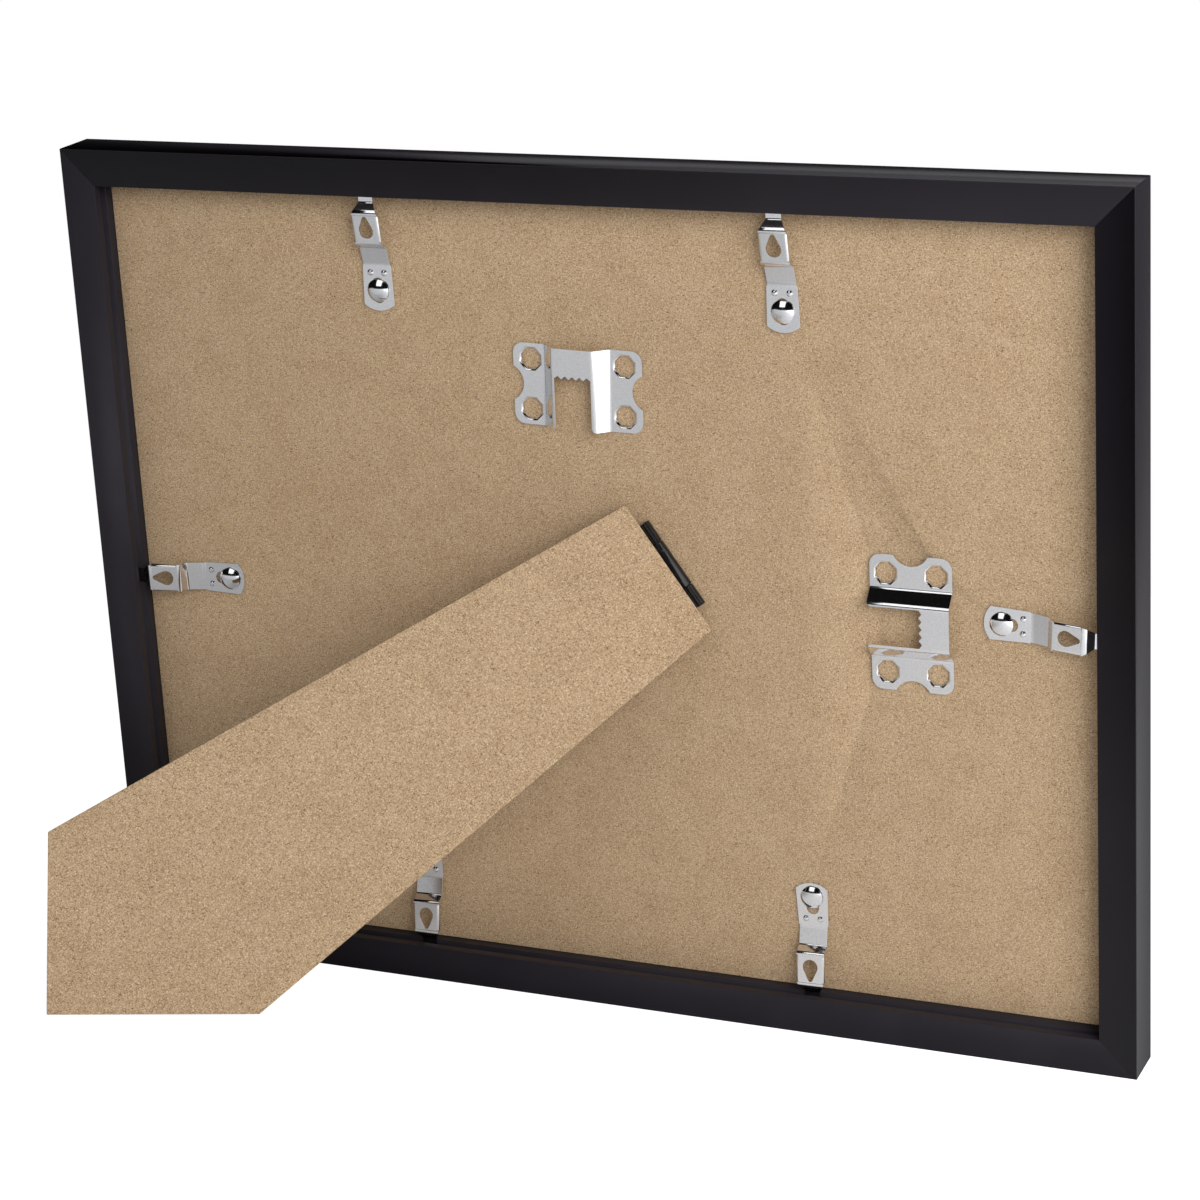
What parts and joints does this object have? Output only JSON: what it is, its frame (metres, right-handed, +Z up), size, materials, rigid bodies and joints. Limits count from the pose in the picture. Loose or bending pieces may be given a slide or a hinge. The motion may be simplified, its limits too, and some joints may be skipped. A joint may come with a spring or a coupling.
{
  "type": "certificate frame",
  "caption": "Black certificate frame with a fibreboard back held by spring clips, sawtooth hangers for both ways up and a hinged easel leg.",
  "frame": {"origin": "middle of the footprint, on the surface that the frame stands on", "axes": "+Z up, +X along the width, -Y the way the display side faces; the frame leans back towards +Y on its leg"},
  "size_m": [0.302, 0.1294, 0.2315],
  "materials": {
    "moulding": "near-black satin foil over the moulding",
    "nail_steel": "plain steel V-nail",
    "glazing": "clear flat pane",
    "sheet": "blank cream certificate paper",
    "fibreboard": "bare medium-density fibreboard with fine dark and pale fibres",
    "plated": "bright plated pressed steel",
    "black_metal": "gloss black hinge"
  },
  "bodies": {
    "frame": {"top_rail": "moulding", "bottom_rail": "moulding", "left_rail": "moulding", "right_rail": "moulding", "corner_nail_top_left": "nail_steel", "corner_nail_top_right": "nail_steel", "corner_nail_bottom_left": "nail_steel", "corner_nail_bottom_right": "nail_steel", "glazing": "glazing", "insert_sheet": "sheet", "backing_board": "fibreboard", "hanger_landscape": "plated", "hanger_portrait": "plated", "hinge_board_leaf": "black_metal", "hinge_pin": "black_metal"},
    "leg": {"easel_leg": "fibreboard", "hinge_leg_leaf": "black_metal"},
    "rivet_top_left_body": {"rivet_top_left": "plated"},
    "clip_top_left_body": {"clip_top_left": "plated"},
    "rivet_top_right_body": {"rivet_top_right": "plated"},
    "clip_top_right_body": {"clip_top_right": "plated"},
    "rivet_right_body": {"rivet_right": "plated"},
    "clip_right_body": {"clip_right": "plated"},
    "rivet_bottom_right_body": {"rivet_bottom_right": "plated"},
    "clip_bottom_right_body": {"clip_bottom_right": "plated"},
    "rivet_bottom_left_body": {"rivet_bottom_left": "plated"},
    "clip_bottom_left_body": {"clip_bottom_left": "plated"},
    "rivet_left_body": {"rivet_left": "plated"},
    "clip_left_body": {"clip_left": "plated"}
  },
  "joints": [
    {"name": "leg_hinge", "type": "hinge", "parent": "frame", "child": "leg", "pos_m": [-0.0233, -0.0216, 0.1261], "axis": [-0.5764, -0.2267, -0.7851], "range_deg": [0, 34.5]},
    {"name": "clip_top_left_swivel", "type": "hinge", "parent": "frame", "child": "rivet_top_left_body", "pos_m": [0.0593, -0.00351, 0.19415], "axis": [0, 0.9607, -0.2775], "range_deg": [-90, 90]},
    {"name": "clip_top_left_slide", "type": "slide", "parent": "rivet_top_left_body", "child": "clip_top_left_body", "axis": [0, 0.2775, 0.9607], "range_m": [-0.0016, 0.0017]},
    {"name": "clip_top_right_swivel", "type": "hinge", "parent": "frame", "child": "rivet_top_right_body", "pos_m": [-0.0569, -0.00351, 0.19415], "axis": [0, 0.9607, -0.2775], "range_deg": [-90, 90]},
    {"name": "clip_top_right_slide", "type": "slide", "parent": "rivet_top_right_body", "child": "clip_top_right_body", "axis": [0.0105, 0.2775, 0.9607], "range_m": [-0.0016, 0.0017]},
    {"name": "clip_right_swivel", "type": "hinge", "parent": "frame", "child": "rivet_right_body", "pos_m": [-0.1138, -0.02551, 0.11796], "axis": [0, 0.9607, -0.2775], "range_deg": [-90, 90]},
    {"name": "clip_right_slide", "type": "slide", "parent": "rivet_right_body", "child": "clip_right_body", "axis": [-0.9991, -0.0116, -0.0402], "range_m": [-0.0025, 0.00085]},
    {"name": "clip_bottom_right_swivel", "type": "hinge", "parent": "frame", "child": "rivet_bottom_right_body", "pos_m": [-0.0592, -0.04863, 0.03793], "axis": [0, 0.9607, -0.2775], "range_deg": [-90, 90]},
    {"name": "clip_bottom_right_slide", "type": "slide", "parent": "rivet_bottom_right_body", "child": "clip_bottom_right_body", "axis": [-0.0262, -0.2774, -0.9604], "range_m": [-0.00325, 0.0001]},
    {"name": "clip_bottom_left_swivel", "type": "hinge", "parent": "frame", "child": "rivet_bottom_left_body", "pos_m": [0.0572, -0.04863, 0.03793], "axis": [0, 0.9607, -0.2775], "range_deg": [-90, 90]},
    {"name": "clip_bottom_left_slide", "type": "slide", "parent": "rivet_bottom_left_body", "child": "clip_bottom_left_body", "axis": [-0.0262, -0.2774, -0.9604], "range_m": [-0.003, 0.00035]},
    {"name": "clip_left_swivel", "type": "hinge", "parent": "frame", "child": "rivet_left_body", "pos_m": [0.1138, -0.02748, 0.11114], "axis": [0, 0.9607, -0.2775], "range_deg": [-90, 90]},
    {"name": "clip_left_slide", "type": "slide", "parent": "rivet_left_body", "child": "clip_left_body", "axis": [1, 0, 0], "range_m": [-0.00275, 0.0006]}
  ]
}
